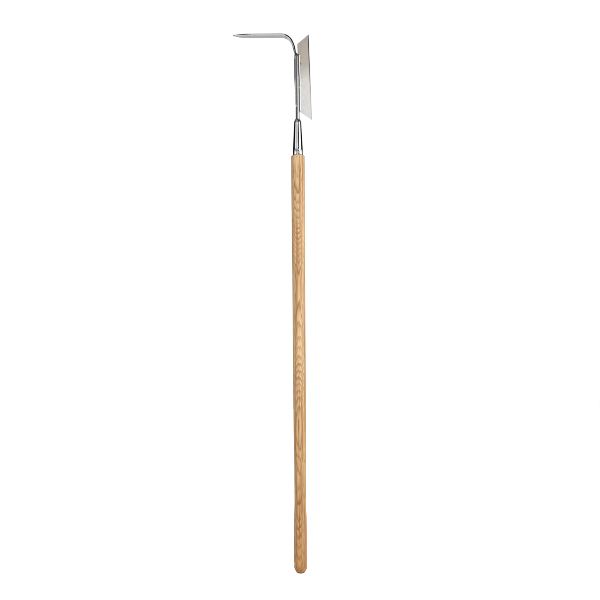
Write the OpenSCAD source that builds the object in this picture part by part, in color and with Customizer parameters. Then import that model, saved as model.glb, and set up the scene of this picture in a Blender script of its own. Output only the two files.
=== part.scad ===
/* [Handle] */
// Length of the visible wooden shaft, from the butt to the socket's rim
shaft_len = 930.6; // [600:0.1:1400]
// Diameter of the shaft where it meets the socket
shaft_d = 30.2; // [26:0.1:36]
// Diameter along the upper third of the shaft
upper_d = 29.6; // [26:0.1:36]
// Diameter along the middle of the shaft
grip_d = 28.3; // [24:0.1:34]
// Diameter of the narrow hand grip near the butt
waist_d = 26.3; // [22:0.1:32]
// Diameter of the swell at the butt
butt_d = 30; // [26:0.1:38]
// Diameter of the flat end of the butt
butt_flat_d = 14; // [8:0.5:22]
// Height where the hand grip starts, above the butt
waist_low_z = 160; // [130:1:200]
// Height where the hand grip ends, above the butt
waist_high_z = 245; // [210:1:300]
// Depth of the tenon that goes into the socket
tenon_len = 62; // [40:1:64]

/* [Hanging hole] */
// Diameter of the hanging hole through the butt
hang_d = 8.5; // [5:0.1:12]
// Height of the hanging hole's axis above the butt
hang_z = 20.7; // [14:0.1:60]

/* [Socket] */
// Outer diameter of the socket's rim
socket_d = 22.4; // [20:0.1:24]
// Outer diameter of the socket at its shoulder
socket_neck_d = 16.4; // [14:0.1:18]
// Length of the straight skirt at the rim
skirt_len = 14.4; // [12:0.1:20]
// Length of the cone between the skirt and the shoulder
cone_len = 55.8; // [50:0.1:70]
// Height of the rounded shoulder that closes on the tang
shoulder_len = 10.2; // [8:0.1:14]
// Thickness of the socket's wall
socket_wall = 1.6; // [1.2:0.1:2]

/* [Rivet] */
// Diameter of the rivet's shank
rivet_d = 4.6; // [3:0.1:6]
// Diameter of the rivet's domed heads
rivet_head_d = 8; // [6:0.1:9]
// Height of the domed heads above the skirt
rivet_head_h = 1.5; // [1:0.1:2]
// Height of the rivet above the socket's rim
rivet_z = 7.1; // [6:0.1:9]

/* [Tang] */
// Diameter of the round tang
tang_d = 8.7; // [8:0.1:9]
// Length of the tang above the socket's shoulder
tang_len = 150; // [140:0.5:152]
// Depth of the flat that the prong's leg sits on
prong_flat = 1.45; // [1.2:0.05:1.7]
// Depth of the flat that the blade sits on
blade_flat = 1.5; // [1.2:0.05:1.8]
// Depth of the flat along the blade's side of the tang, near its top
side_flat = 1.55; // [1.2:0.05:1.8]
// Length of that flat, down from the tang's top
side_flat_len = 26; // [18:1:40]

/* [Prong] */
// Thickness of the prong's flat bar
prong_t = 4; // [3:0.1:4.5]
// Width of the prong's flat bar
prong_w = 30; // [24:1:36]
// Reach of the prong's point from the handle's axis
prong_reach = 143; // [110:1:160]
// Height of the prong's upper face above the butt
prong_top_z = 1200; // [1195:0.5:1210]
// Length of the tapered point
point_len = 35; // [25:1:45]
// Radius of the long curve above the leg, at the bar's middle
sweep_r = 60; // [50:1:75]
// Angle turned by the long curve
sweep_a = 29; // [24:1:34]
// Radius of the tight bend, at the bar's middle
bend_r = 26; // [20:0.5:30]
// Width of the leg at its lower end
foot_w = 16; // [12:1:24]

/* [Blade] */
// Thickness of the blade's plate
blade_t = 2.5; // [2:0.1:3]
// Width of the blade
blade_w = 26.2; // [20:0.1:34]
// Length of the blade's inner edge, next to the tang
blade_inner_len = 152.2; // [120:0.1:160]
// Length of the blade's outer cutting edge
blade_outer_len = 190.6; // [160:0.1:192]
// Lean of the blade towards the prong, in its own plane
blade_lean = 1.85; // [0:0.05:3]
// Turn of the blade about the tang, so that its cutting edge comes forward
blade_turn = 10; // [0:1:15]
// Width of the ground bevel along the cutting edge
bevel_w = 3.4; // [2:0.1:6]
// Thickness left at the cutting edge
edge_t = 0.5; // [0.3:0.1:1]

/* [Hidden] */

gap = 0.1;
fine = 96;
tang_r = tang_d / 2;
skirt_r = socket_d / 2;
neck_r = socket_neck_d / 2;
cone_z = shaft_len + skirt_len;
shoulder_z = cone_z + cone_len;
tang_z = shoulder_z + shoulder_len;
tang_top_z = tang_z + tang_len;
rivet_at = shaft_len + rivet_z;
tang_foot_z = shoulder_z - 6;
top_slant = 38;

// The shaft's outline, from the butt to the shoulder, as [height, radius].
shaft_profile = [
    [0, butt_flat_d / 2],
    [3, butt_flat_d / 2 + 2.5],
    [6.2, butt_d / 2 - 3.6],
    [8.5, butt_d / 2 - 2],
    [11, butt_d / 2 - 0.8],
    [15, butt_d / 2 - 0.2],
    [25, butt_d / 2],
    [60, butt_d / 2],
    [80, butt_d / 2 - 0.3],
    [100, butt_d / 2 - 0.65],
    [waist_low_z - 35, grip_d / 2 - 0.05],
    [waist_low_z - 20, (grip_d + waist_d) / 4 - 0.05],
    [waist_low_z, waist_d / 2],
    [waist_high_z, waist_d / 2],
    [waist_high_z + 13, (grip_d + waist_d) / 4 - 0.05],
    [waist_high_z + 27, grip_d / 2 - 0.05],
    [waist_high_z + 55, grip_d / 2],
    [shaft_len * 0.731, grip_d / 2 + 0.15],
    [shaft_len * 0.752, upper_d / 2 - 0.15],
    [shaft_len * 0.774, upper_d / 2],
    [shaft_len * 0.86, upper_d / 2 + 0.05],
    [shaft_len * 0.881, shaft_d / 2 - 0.05],
    [shaft_len * 0.967, shaft_d / 2],
    [shaft_len - 3.4, shaft_d / 2],
    [shaft_len - 1.2, shaft_d / 2 - 0.5],
    [shaft_len, shaft_d / 2 - 1.5]
];

// The tenon's radius follows the socket's inner wall with a thin glue gap.
function socket_in_r(z) = z <= cone_z
    ? skirt_r - socket_wall
    : skirt_r - socket_wall - (skirt_r - neck_r) * (z - cone_z) / cone_len;
tenon_top_z = shaft_len + tenon_len;

module handle() {
    color([0.80, 0.64, 0.44])
    difference() {
        rotate_extrude($fn = fine)
            polygon(concat(
                [[0, 0]],
                [for (p = shaft_profile) [p[1], p[0]]],
                [[socket_in_r(shaft_len) - gap, shaft_len],
                 [socket_in_r(cone_z) - gap, cone_z],
                 [socket_in_r(tenon_top_z - 2) - gap, tenon_top_z - 2],
                 [socket_in_r(tenon_top_z) - gap - 1.6, tenon_top_z],
                 [0, tenon_top_z]]
            ));
        // Hanging hole, straight across the butt
        translate([0, 0, hang_z]) rotate([0, 90, 0])
            cylinder(h = butt_d + 10, r = hang_d / 2, center = true, $fn = 64);
        // Rivet hole through the tenon
        translate([0, 0, rivet_at]) rotate([90, 0, 0])
            cylinder(h = socket_d + 10, r = rivet_d / 2 + 0.05, center = true, $fn = 48);
    }
}

// The shoulder's outline is a quarter of an ellipse from the cone to the tang.
shoulder_steps = 9;
function shoulder_pt(i, inset) = let (a = 90 * i / shoulder_steps)
    [max(tang_r + gap, tang_r + gap + (neck_r - inset - tang_r - gap) * cos(a)),
     shoulder_z + (shoulder_len - inset) * sin(a)];

module socket() {
    color([0.78, 0.79, 0.80])
    difference() {
        rotate_extrude($fn = fine)
            polygon(concat(
                [[skirt_r - socket_wall, shaft_len],
                 [skirt_r - 0.3, shaft_len],
                 [skirt_r, shaft_len + 0.3],
                 [skirt_r, cone_z]],
                [for (i = [0 : shoulder_steps]) shoulder_pt(i, 0)],
                [[tang_r + gap, shoulder_z - 1],
                 [socket_in_r(shoulder_z - 1), shoulder_z - 1],
                 [socket_in_r(cone_z), cone_z]]
            ));
        translate([0, 0, rivet_at]) rotate([90, 0, 0])
            cylinder(h = socket_d + 10, r = rivet_d / 2 + 0.05, center = true, $fn = 48);
    }
}

// A low dome on the skirt, whose foot follows the skirt's curve.
head_steps = 8;
module rivet_head() {
    cap_r = (rivet_head_d * rivet_head_d / 4 + rivet_head_h * rivet_head_h) / (2 * rivet_head_h);
    cap_a = asin(rivet_head_d / 2 / cap_r);
    top_z = skirt_r + rivet_head_h;
    rotate_extrude($fn = 64) polygon(concat(
        [[0, skirt_r - 1.5], [rivet_head_d / 2, skirt_r - 1.5]],
        [for (i = [head_steps : -1 : 0]) let (a = cap_a * i / head_steps)
            [cap_r * sin(a), top_z - cap_r * (1 - cos(a))]]
    ));
}

module socket_rivet() {
    color([0.82, 0.83, 0.84])
    translate([0, 0, rivet_at]) union() {
        difference() {
            rotate([90, 0, 0]) rivet_head();
            cylinder(h = 30, r = skirt_r, center = true, $fn = fine);
        }
        difference() {
            rotate([-90, 0, 0]) rivet_head();
            cylinder(h = 30, r = skirt_r, center = true, $fn = fine);
        }
        rotate([90, 0, 0])
            cylinder(h = socket_d + 1, r = rivet_d / 2, center = true, $fn = 48);
    }
}

side_x = tang_r - side_flat;
side_flat_z = tang_top_z - side_flat_len;
side_ramp_z = side_flat_z - 34;

module tang_solid() {
    difference() {
        translate([0, 0, tang_foot_z])
            cylinder(h = tang_top_z - tang_foot_z, r = tang_r, $fn = fine);
        // Seat for the prong's leg
        translate([-tang_r - 5 + prong_flat, -10, leg_foot_z])
            cube([5, 20, 300]);
        // Seat for the blade, on the far side
        rotate([0, 0, -blade_turn])
            translate([-10, tang_r - blade_flat, blade_low_z - 1])
                cube([20, 5, 300]);
        // The top is cut at a slant, lower on the blade's side
        translate([-tang_r, 0, tang_top_z]) rotate([0, top_slant, 0])
            translate([-20, -20, 0]) cube([60, 40, 30]);
        // Flat along the blade's side, which runs out in a short ramp
        rotate([0, 0, -blade_turn]) rotate([90, 0, 0])
            linear_extrude(height = 40, center = true)
                polygon([[tang_r, side_ramp_z], [side_x, side_flat_z],
                         [side_x, tang_top_z + 20], [tang_r + 5, tang_top_z + 20],
                         [tang_r + 5, side_ramp_z]]);
    }
}

module tang() {
    color([0.74, 0.75, 0.76]) tang_solid();
}

module neck_weld() {
    color([0.66, 0.67, 0.68])
    translate([0, 0, tang_z]) difference() {
        rotate_extrude($fn = fine) translate([tang_r + 0.35, 0]) circle(r = 1.1, $fn = 32);
        cylinder(h = 10, r = tang_r, center = true, $fn = fine);
        translate([0, 0, -10]) cylinder(h = 10, r = 20, $fn = fine);
    }
}

// The prong is one flat bar, bent in the plane of the handle. Its outline is
// drawn in that plane (x across, y up) and the bar is as wide as prong_w.
leg_right = -tang_r + prong_flat;
leg_left = leg_right - prong_t;
leg_mid = leg_right - prong_t / 2;
bar_mid_z = prong_top_z - prong_t / 2;
sweep_z = bar_mid_z - sweep_r * sin(sweep_a) - bend_r * (1 - sin(sweep_a));
bend_x = leg_mid - sweep_r * (1 - cos(sweep_a)) - bend_r * cos(sweep_a);
leg_foot_z = tang_z + 28;
leg_thin_z = tang_z + 60;
leg_full_z = tang_z + 92;
leg_wide_z = tang_z + 108;
leg_thin = 2.4;
sweep_steps = 12;
bend_steps = 14;

// A point on the bar's curved part, off its middle by o towards the blade.
function sweep_pt(i, o) = let (a = sweep_a * i / sweep_steps)
    [leg_mid - sweep_r * (1 - cos(a)) + o * cos(a), sweep_z + sweep_r * sin(a) + o * sin(a)];
function bend_pt(i, o) = let (a = sweep_a + (90 - sweep_a) * i / bend_steps)
    [bend_x + (bend_r + o) * cos(a), bar_mid_z - bend_r + (bend_r + o) * sin(a)];

module bar_outline() {
    polygon(concat(
        [[leg_right, leg_foot_z]],
        [for (i = [0 : sweep_steps]) sweep_pt(i, prong_t / 2)],
        [for (i = [1 : bend_steps]) bend_pt(i, prong_t / 2)],
        [[-prong_reach, prong_top_z], [-prong_reach, prong_top_z - 2],
         [-prong_reach + 16, prong_top_z - prong_t]],
        [for (i = [bend_steps : -1 : 0]) bend_pt(i, -prong_t / 2)],
        [for (i = [sweep_steps - 1 : -1 : 0]) sweep_pt(i, -prong_t / 2)],
        [[leg_left, leg_full_z],
         [leg_right - leg_thin, leg_thin_z],
         [leg_right - leg_thin + 0.4, leg_foot_z + 9],
         [leg_right - 0.8, leg_foot_z]]
    ));
}

// Half of the bar's width at the fraction q of the point's length: the point
// starts at an angle and rounds in towards its tip.
tip_hw = 0.6;
point_steps = 7;
function point_hw(q) =
    tip_hw + (prong_w / 2 - tip_hw) * (0.3 * q + 0.7 * (1 - pow(1 - q, 2.2)));

module prong() {
    hw = prong_w / 2;
    fw = foot_w / 2;
    color([0.76, 0.77, 0.78])
    intersection() {
        rotate([90, 0, 0]) linear_extrude(height = prong_w, center = true)
            bar_outline();
        // Plan of the bar, with its spear point
        translate([0, 0, leg_foot_z - 10]) linear_extrude(height = 400)
            polygon(concat(
                [for (i = [0 : point_steps]) let (q = i / point_steps)
                    [-prong_reach + point_len * q, -point_hw(q)]],
                [[20, -hw], [20, hw]],
                [for (i = [point_steps : -1 : 0]) let (q = i / point_steps)
                    [-prong_reach + point_len * q, point_hw(q)]]
            ));
        // Side of the leg, which narrows towards its foot
        translate([-200, 0, 0]) rotate([90, 0, 90]) linear_extrude(height = 300)
            polygon([[-fw + 3, leg_foot_z - 1], [fw - 3, leg_foot_z - 1],
                     [fw, leg_foot_z + 4], [hw, leg_wide_z],
                     [hw, prong_top_z + 10], [-hw, prong_top_z + 10],
                     [-hw, leg_wide_z], [-fw, leg_foot_z + 4]]);
    }
}

// Beads in the two grooves between the leg and the tang.
seat_y = sqrt(tang_r * tang_r - leg_right * leg_right);
module prong_weld() {
    bead_z = leg_foot_z + 4;
    bead_h = tang_top_z - 6 - bead_z;
    color([0.66, 0.67, 0.68])
    difference() {
        for (s = [-1, 1])
            translate([leg_right + 0.4, s * (seat_y + 0.5), bead_z])
                cylinder(h = bead_h, r = 1.4, $fn = 32);
        translate([0, 0, bead_z - 5]) cylinder(h = bead_h + 10, r = tang_r, $fn = fine);
        translate([leg_right - 10, -20, bead_z - 5]) cube([10, 40, bead_h + 10]);
    }
}

// The blade lies in a plane through the handle's direction, turned a little
// about the tang. Its plate is drawn with x across and y up.
blade_mid_z = 1103.9;
blade_low_z = blade_mid_z - blade_inner_len / 2;
blade_x = 2.3;

module blade_place() {
    rotate([0, 0, -blade_turn])
        translate([blade_x, tang_r - blade_flat, blade_mid_z])
            rotate([90, 0, 0]) rotate([0, 0, blade_lean])
                translate([0, 0, -blade_t]) children();
}

module plate() {
    hi = blade_inner_len / 2;
    ho = blade_outer_len / 2;
    linear_extrude(height = blade_t)
        polygon([[0, -hi], [blade_w, -ho], [blade_w, ho], [0, hi]]);
}

module blade() {
    ho = blade_outer_len / 2;
    color([0.80, 0.78, 0.76])
    blade_place() difference() {
        plate();
        // Ground bevel on the near face, along the cutting edge
        translate([0, ho + 10, 0]) rotate([90, 0, 0]) linear_extrude(height = 2 * ho + 20)
            polygon([[blade_w - bevel_w, blade_t], [blade_w, edge_t],
                     [blade_w + 5, edge_t], [blade_w + 5, blade_t + 3], [blade_w - bevel_w, blade_t + 3]]);
    }
}

// Beads in the groove between the tang and the blade's near face, and behind
// the tang along the blade's inner edge.
bead_r = 2;
seam_low = blade_low_z + 3;
seam_high = tang_top_z - 5.6;
seam_x = tang_r - 0.2;
module blade_weld() {
    color([0.66, 0.67, 0.68])
    difference() {
        union() {
            rotate([0, 0, -blade_turn]) translate([0, tang_r - blade_flat - 1.1, 0]) {
                // Below the ramp the bead lies against the round tang, and
                // above it against the tang's side flat
                translate([seam_x, 0, seam_low])
                    cylinder(h = side_ramp_z + 18 - seam_low, r = bead_r, $fn = 32);
                translate([seam_x - side_flat, 0, side_ramp_z + 17])
                    cylinder(h = seam_high - side_ramp_z - 17, r = bead_r, $fn = 32);
                // It turns the corner and follows the slanted top
                translate([seam_x - side_flat, 0, seam_high]) {
                    sphere(r = bead_r, $fn = 32);
                    rotate([0, top_slant - 90, 0]) cylinder(h = 4.2, r = bead_r, $fn = 32);
                }
            }
            blade_place() translate([-0.1, seam_high - 3 - blade_mid_z, blade_t - 0.9])
                rotate([90, 0, 0]) cylinder(h = seam_high - seam_low - 4, r = 1.7, $fn = 32);
        }
        tang_solid();
        blade_place() plate();
    }
}

handle();
socket();
socket_rivet();
tang();
neck_weld();
prong();
prong_weld();
blade();
blade_weld();
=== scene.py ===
import bpy, bmesh, math
from mathutils import Vector, Matrix, noise


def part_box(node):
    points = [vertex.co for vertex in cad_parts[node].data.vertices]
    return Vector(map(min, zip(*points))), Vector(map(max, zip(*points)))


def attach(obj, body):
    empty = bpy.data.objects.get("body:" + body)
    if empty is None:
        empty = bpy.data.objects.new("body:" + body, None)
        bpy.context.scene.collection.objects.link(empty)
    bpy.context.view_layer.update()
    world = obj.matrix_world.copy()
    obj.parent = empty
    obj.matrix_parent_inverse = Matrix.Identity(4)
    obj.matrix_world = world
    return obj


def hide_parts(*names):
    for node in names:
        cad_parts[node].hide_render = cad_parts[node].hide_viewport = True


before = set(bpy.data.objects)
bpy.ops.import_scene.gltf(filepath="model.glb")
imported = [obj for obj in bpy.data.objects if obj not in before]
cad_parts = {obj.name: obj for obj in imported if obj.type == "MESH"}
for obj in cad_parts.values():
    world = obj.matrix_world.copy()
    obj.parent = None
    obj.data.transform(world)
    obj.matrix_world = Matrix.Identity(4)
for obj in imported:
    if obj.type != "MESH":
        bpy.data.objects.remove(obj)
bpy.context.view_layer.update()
MM = 0.001
scene = bpy.context.scene

# ---------------------------------------------------------------- sizes, from the frame
h_lo, h_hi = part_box("handle")
s_lo, s_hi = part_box("socket")
t_lo, t_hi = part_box("tang")
p_lo, p_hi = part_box("prong")
b_lo, b_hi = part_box("blade")
n_lo, n_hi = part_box("neck_weld")
r_lo, r_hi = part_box("socket_rivet")

SHAFT = s_lo.z / MM            # top of the visible shaft = rim of the socket
SOCK_R = s_hi.x / MM           # radius of the socket's skirt
SOCK_TOP = s_hi.z / MM
TANG_R = t_hi.x / MM
TANG_TOP = t_hi.z / MM + 1.45 * math.tan(math.radians(38))   # the leg seat takes off the very tip
NECK_Z = n_lo.z / MM
PRONG_TOP = p_hi.z / MM
REACH = -p_lo.x / MM
LEG_FOOT = p_lo.z / MM
PRONG_HW = p_hi.y / MM


# ---------------------------------------------------------------- mesh helpers
def obj_from(name, verts, faces, smooth=True, sharp=32.0):
    me = bpy.data.meshes.new(name)
    me.from_pydata([Vector(v) * MM for v in verts], [], faces)
    me.validate()
    me.update()
    ob = bpy.data.objects.new(name, me)
    scene.collection.objects.link(ob)
    fix_normals(ob)
    if smooth:
        me.shade_smooth()
        me.set_sharp_from_angle(angle=math.radians(sharp))
    return ob


def fix_normals(ob):
    bm = bmesh.new()
    bm.from_mesh(ob.data)
    bmesh.ops.remove_doubles(bm, verts=bm.verts, dist=1e-7)
    bmesh.ops.recalc_face_normals(bm, faces=bm.faces)
    bm.to_mesh(ob.data)
    bm.free()


def lathe(name, profile, seg=96, closed=False, sharp=32.0):
    """profile: [(r, z)] in mm. Ends with r=0 become poles; closed joins the last ring to the first."""
    verts, faces, rings = [], [], []
    for r, z in profile:
        if r < 1e-6:
            rings.append([len(verts)])
            verts.append((0, 0, z))
        else:
            rings.append(list(range(len(verts), len(verts) + seg)))
            for i in range(seg):
                a = 2 * math.pi * i / seg
                verts.append((r * math.cos(a), r * math.sin(a), z))
    pairs = list(zip(rings, rings[1:]))
    if closed:
        pairs.append((rings[-1], rings[0]))
    for a, b in pairs:
        for i in range(seg):
            j = (i + 1) % seg
            if len(a) == 1 and len(b) == 1:
                continue
            if len(a) == 1:
                faces.append((a[0], b[j], b[i]))
            elif len(b) == 1:
                faces.append((a[i], a[j], b[0]))
            else:
                faces.append((a[i], a[j], b[j], b[i]))
    return obj_from(name, verts, faces, sharp=sharp)


def catmull(points, steps):
    """Smooth monotone curve through (z, r) knots; returns [(z, r)]."""
    n = len(points)
    d = [(points[i + 1][1] - points[i][1]) / (points[i + 1][0] - points[i][0]) for i in range(n - 1)]
    m = [d[0]]
    for i in range(1, n - 1):
        m.append(0.0 if d[i - 1] * d[i] <= 0 else 2 * d[i - 1] * d[i] / (d[i - 1] + d[i]))
    m.append(d[-1])
    out = []
    for i in range(n - 1):
        z0, r0 = points[i]
        z1, r1 = points[i + 1]
        h = z1 - z0
        k = max(1, steps if h > 6 else 3)
        for s in range(k):
            t = s / k
            t2, t3 = t * t, t * t * t
            r = ((2 * t3 - 3 * t2 + 1) * r0 + (t3 - 2 * t2 + t) * h * m[i]
                 + (-2 * t3 + 3 * t2) * r1 + (t3 - t2) * h * m[i + 1])
            out.append((z0 + h * t, r))
    out.append(points[-1])
    return out


def apply_mods(ob):
    dg = bpy.context.evaluated_depsgraph_get()
    me = bpy.data.meshes.new_from_object(ob.evaluated_get(dg), depsgraph=dg)
    ob.modifiers.clear()
    old = ob.data
    ob.data = me
    bpy.data.meshes.remove(old)
    return ob


def boolean(ob, cutter, op="DIFFERENCE"):
    mod = ob.modifiers.new("cut", "BOOLEAN")
    mod.operation = op
    mod.object = cutter
    mod.solver = "EXACT"
    apply_mods(ob)
    bpy.data.objects.remove(cutter)
    return ob


def bevel(ob, width, segments=3, angle=30.0):
    mod = ob.modifiers.new("bevel", "BEVEL")
    mod.width = width * MM
    mod.segments = segments
    mod.limit_method = "ANGLE"
    mod.angle_limit = math.radians(angle)
    mod.harden_normals = False
    mod.use_clamp_overlap = True
    apply_mods(ob)
    ob.data.shade_smooth()
    ob.data.set_sharp_from_angle(angle=math.radians(35))
    return ob


def flat_faces(ob):
    """Keep broad flat faces flat beside their rounded edges."""
    mod = ob.modifiers.new("weigh", "WEIGHTED_NORMAL")
    mod.keep_sharp = True
    mod.weight = 80
    apply_mods(ob)
    return ob


def box_mesh(name, lo, hi, turn=0.0, about=(0, 0, 0), axis="Z"):
    vs = [(x, y, z) for x in (lo[0], hi[0]) for y in (lo[1], hi[1]) for z in (lo[2], hi[2])]
    fs = [(0, 1, 3, 2), (4, 6, 7, 5), (0, 4, 5, 1), (2, 3, 7, 6), (0, 2, 6, 4), (1, 5, 7, 3)]
    ob = obj_from(name, vs, fs, smooth=False)
    if turn:
        m = Matrix.Translation(Vector(about) * MM) @ Matrix.Rotation(math.radians(turn), 4, axis) @ Matrix.Translation(-Vector(about) * MM)
        ob.data.transform(m)
    return ob


# ---------------------------------------------------------------- node helpers
class Tree:
    def __init__(self, mat):
        self.t = mat.node_tree
        self.n = self.t.nodes
        self.l = self.t.links

    def new(self, kind, **props):
        nd = self.n.new(kind)
        for k, v in props.items():
            setattr(nd, k, v)
        return nd

    def put(self, sock, val):
        if isinstance(val, bpy.types.NodeSocket):
            self.l.new(val, sock)
        elif val is not None:
            sock.default_value = val

    def math(self, op, a, b=None, c=None, clamp=False):
        nd = self.new("ShaderNodeMath", operation=op, use_clamp=clamp)
        self.put(nd.inputs[0], a)
        if b is not None:
            self.put(nd.inputs[1], b)
        if c is not None:
            self.put(nd.inputs[2], c)
        return nd.outputs[0]

    def vmul(self, v, s):
        nd = self.new("ShaderNodeVectorMath", operation="MULTIPLY")
        self.put(nd.inputs[0], v)
        self.put(nd.inputs[1], s)
        return nd.outputs[0]

    def noise(self, vec, scale, detail=2.0, rough=0.5, dist=0.0, dims="3D", w=None):
        nd = self.new("ShaderNodeTexNoise", noise_dimensions=dims)
        if vec is not None and dims != "1D":
            self.put(nd.inputs["Vector"], vec)
        if w is not None:
            self.put(nd.inputs["W"], w)
        self.put(nd.inputs["Scale"], scale)
        self.put(nd.inputs["Detail"], detail)
        self.put(nd.inputs["Roughness"], rough)
        self.put(nd.inputs["Distortion"], dist)
        return nd.outputs["Fac"]

    def ramp(self, fac, stops, interp="LINEAR"):
        nd = self.new("ShaderNodeValToRGB")
        cr = nd.color_ramp
        cr.interpolation = interp
        while len(cr.elements) > 1:
            cr.elements.remove(cr.elements[-1])
        for i, (p, c) in enumerate(stops):
            e = cr.elements[0] if i == 0 else cr.elements.new(p)
            e.position = p
            if not isinstance(c, (tuple, list)):
                c = (c, c, c)
            e.color = (*c, 1.0)
        self.put(nd.inputs[0], fac)
        return nd.outputs[0]

    def mix(self, fac, a, b, mode="MIX"):
        nd = self.new("ShaderNodeMix", data_type="RGBA", blend_type=mode)
        self.put(nd.inputs[0], fac)
        self.put(nd.inputs[6], a if isinstance(a, bpy.types.NodeSocket) else (*a, 1.0))
        self.put(nd.inputs[7], b if isinstance(b, bpy.types.NodeSocket) else (*b, 1.0))
        return nd.outputs[2]

    def map(self, v, a, b, c, d, clamp=True, kind="LINEAR"):
        nd = self.new("ShaderNodeMapRange", clamp=clamp, interpolation_type=kind)
        self.put(nd.inputs[0], v)
        for i, x in enumerate((a, b, c, d)):
            nd.inputs[i + 1].default_value = x
        return nd.outputs[0]

    def bump(self, height, strength, distance, normal=None):
        nd = self.new("ShaderNodeBump")
        nd.inputs["Strength"].default_value = strength
        nd.inputs["Distance"].default_value = distance
        self.put(nd.inputs["Height"], height)
        if normal is not None:
            self.put(nd.inputs["Normal"], normal)
        return nd.outputs[0]


def lin(c):
    return tuple((x / 255 / 12.92) if x / 255 <= 0.04045 else ((x / 255 + 0.055) / 1.055) ** 2.4 for x in c)


def new_mat(name):
    mat = bpy.data.materials.new(name)
    mat.use_nodes = True
    t = Tree(mat)
    bsdf = t.n["Principled BSDF"]
    tc = t.new("ShaderNodeTexCoord")
    return mat, t, bsdf, tc.outputs["Object"]


# ---------------------------------------------------------------- materials
def ash_wood():
    mat, t, bsdf, co = new_mat("ash_wood")
    sep = t.new("ShaderNodeSeparateXYZ")
    t.put(sep.inputs[0], co)
    x, y, z = sep.outputs
    # The tree's heart runs behind the shaft and wanders towards and away from it,
    # so that turning the shaft cut straight lines at its sides and long arches in front.
    wob = t.noise(None, 3.1, 1.0, 0.4, dims="1D", w=t.math("ADD", z, 3.37))
    swing = t.math("MULTIPLY", t.math("SINE", t.math("MULTIPLY_ADD", z, 10.5, -1.55)), 0.0100)
    px = t.math("MULTIPLY_ADD", t.math("SINE", t.math("MULTIPLY_ADD", z, 7.0, 1.1)), 0.0045, 0.0060)
    px = t.math("MULTIPLY_ADD", t.math("SUBTRACT", wob, 0.5), 0.012, px)
    py = t.math("ADD", 0.042, t.math("MULTIPLY_ADD", t.math("SUBTRACT", wob, 0.5), 0.014, swing))
    ddx = t.math("SUBTRACT", x, px)
    ddy = t.math("SUBTRACT", y, py)
    rad = t.math("SQRT", t.math("ADD", t.math("MULTIPLY", ddx, ddx), t.math("MULTIPLY", ddy, ddy)))
    grow = t.noise(t.vmul(co, (190.0, 190.0, 12.0)), 1.0, 3.0, 0.6)
    jag = t.noise(t.vmul(co, (620.0, 620.0, 46.0)), 1.0, 2.0, 0.5)
    rad = t.math("MULTIPLY_ADD", t.math("SUBTRACT", grow, 0.5), 0.0030, rad)
    rad = t.math("MULTIPLY_ADD", t.math("SUBTRACT", jag, 0.5), 0.0006, rad)
    phase = t.math("DIVIDE", rad, 0.0018)
    frac = t.math("FRACT", phase)
    idx = t.math("FLOOR", phase)
    wn = t.new("ShaderNodeTexWhiteNoise", noise_dimensions="1D")
    t.put(wn.inputs["W"], idx)
    ringv = t.map(wn.outputs["Value"], 0.0, 1.0, 0.30, 1.0)
    # Earlywood: a band of open pores, dark at its start, fading into dense latewood
    early = t.ramp(frac, [(0.0, 1.0), (0.10, 0.95), (0.30, 0.45), (0.52, 0.08), (0.90, 0.0), (0.97, 0.35), (1.0, 1.0)])
    early = t.math("MULTIPLY", early, ringv)
    # Fibres and pores run along the shaft
    fibre = t.noise(t.vmul(co, (1500.0, 1500.0, 22.0)), 1.0, 4.0, 0.6)
    streak = t.noise(t.vmul(co, (300.0, 300.0, 5.0)), 1.0, 3.0, 0.6)
    broad = t.noise(t.vmul(co, (110.0, 110.0, 7.0)), 1.0, 2.0, 0.5)
    pore = t.noise(t.vmul(co, (2600.0, 2600.0, 120.0)), 1.0, 2.0, 0.55)
    pores = t.math("MULTIPLY", t.map(pore, 0.56, 0.66, 0.0, 1.0), t.map(early, 0.15, 0.6, 0.0, 1.0))
    late_c = lin((250, 216, 164))
    early_c = lin((134, 74, 22))
    col = t.mix(t.math("MULTIPLY", early, 1.0), late_c, early_c)
    col = t.mix(t.map(streak, 0.44, 0.62, 0.0, 0.84), col, lin((180, 120, 62)))
    col = t.mix(t.map(broad, 0.45, 0.75, 0.0, 0.35), col, lin((236, 200, 162)))
    col = t.mix(t.math("MULTIPLY", pores, 0.55), col, lin((120, 78, 42)))
    col = t.mix(t.map(fibre, 0.36, 0.62, 0.0, 0.36), col, lin((160, 112, 66)))
    # The colour darkens towards the butt; the last few millimetres of the butt are darkened further as painted shade
    low = t.map(z, 0.46, 0.02, 0.0, 1.0)
    col = t.mix(low, col, (0.74, 0.585, 0.43), "MULTIPLY")
    butt_painted_shade = t.map(z, 0.0050, 0.0010, 0.0, 0.80)
    col = t.mix(butt_painted_shade, col, lin((96, 66, 42)))
    t.put(bsdf.inputs["Base Color"], col)
    rough = t.math("ADD", t.map(fibre, 0.2, 0.8, 0.40, 0.52), t.math("MULTIPLY", pores, 0.2))
    t.put(bsdf.inputs["Roughness"], rough)
    bsdf.inputs["Specular IOR Level"].default_value = 0.30
    bsdf.inputs["Coat Weight"].default_value = 0.12
    bsdf.inputs["Coat Roughness"].default_value = 0.34
    hgt = t.math("SUBTRACT", t.math("MULTIPLY", fibre, 0.35), t.math("ADD", pores, t.math("MULTIPLY", early, 0.25)))
    t.put(bsdf.inputs["Normal"], t.bump(hgt, 0.35, 0.00012))
    return mat


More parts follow.
